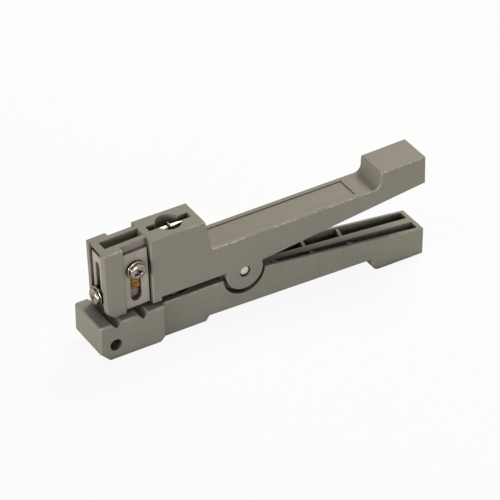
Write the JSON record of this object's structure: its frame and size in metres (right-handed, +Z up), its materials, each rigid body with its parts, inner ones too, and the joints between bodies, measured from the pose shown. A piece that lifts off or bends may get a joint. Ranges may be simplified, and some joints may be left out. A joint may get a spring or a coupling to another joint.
{
  "type": "cable jacket stripper",
  "caption": "Spring-closed hand stripper for cable jackets: grooved lower jaw, upper arm with an adjustable ring-cut blade and an adjustable slitting blade.",
  "frame": {"origin": "middle of the bounding box at its base, the foot's sole at Z = 0", "axes": "+X from the jaw to the handles, +Y along the hinge pin away from the side screw, +Z up"},
  "size_m": [0.13, 0.0176, 0.046],
  "materials": {
    "grey_plastic": "moulded satin, fine grain, edges rubbed pale",
    "nickel_steel": "bright nickel plate",
    "spring_steel": "drawn wire, bright",
    "blued_steel": "darkened spring steel, lightly oiled",
    "blade_steel": "ground steel",
    "brass": "machined brass, lightly aged"
  },
  "bodies": {
    "lower_jaw": {"lower_arm": "grey_plastic", "lower_spring_pin": "nickel_steel", "closing_spring": "spring_steel"},
    "upper_jaw": {"upper_arm": "grey_plastic", "blade_frame": "grey_plastic", "side_plate": "grey_plastic", "front_plate": "grey_plastic", "pivot_pin": "nickel_steel", "upper_spring_pin": "nickel_steel"},
    "side_carriage": {"side_carrier": "brass", "ring_blade": "blade_steel", "side_washer": "nickel_steel", "side_lock_washer": "blued_steel"},
    "side_clamp": {"side_screw": "nickel_steel"},
    "front_carriage": {"front_carrier": "brass", "slit_blade": "blade_steel", "front_washer": "nickel_steel", "front_lock_washer": "blued_steel"},
    "front_clamp": {"front_screw": "nickel_steel"}
  },
  "joints": [
    {"name": "jaw_hinge", "type": "hinge", "parent": "lower_jaw", "child": "upper_jaw", "pos_m": [-0.0078, 0, 0.0199], "axis": [0, 1, 0], "range_deg": [0, 14], "stiffness_Nm_per_rad": 0.8, "springref_deg": -22.92, "deforming": ["closing_spring"]},
    {"name": "side_blade_slide", "type": "slide", "parent": "upper_jaw", "child": "side_carriage", "axis": [0.0349, 0, -0.9994], "range_m": [-0.001, 0.004]},
    {"name": "front_blade_slide", "type": "slide", "parent": "upper_jaw", "child": "front_carriage", "axis": [-0.0349, 0, 0.9994], "range_m": [0, 0.011]},
    {"name": "side_screw_turn", "type": "hinge", "parent": "side_carriage", "child": "side_clamp", "pos_m": [-0.04916, -0.00505, 0.0358], "axis": [0, -1, 0], "continuous": true},
    {"name": "front_screw_turn", "type": "hinge", "parent": "front_carriage", "child": "front_clamp", "pos_m": [-0.06003, 0, 0.02622], "axis": [-0.9994, 0, -0.0349], "continuous": true}
  ]
}
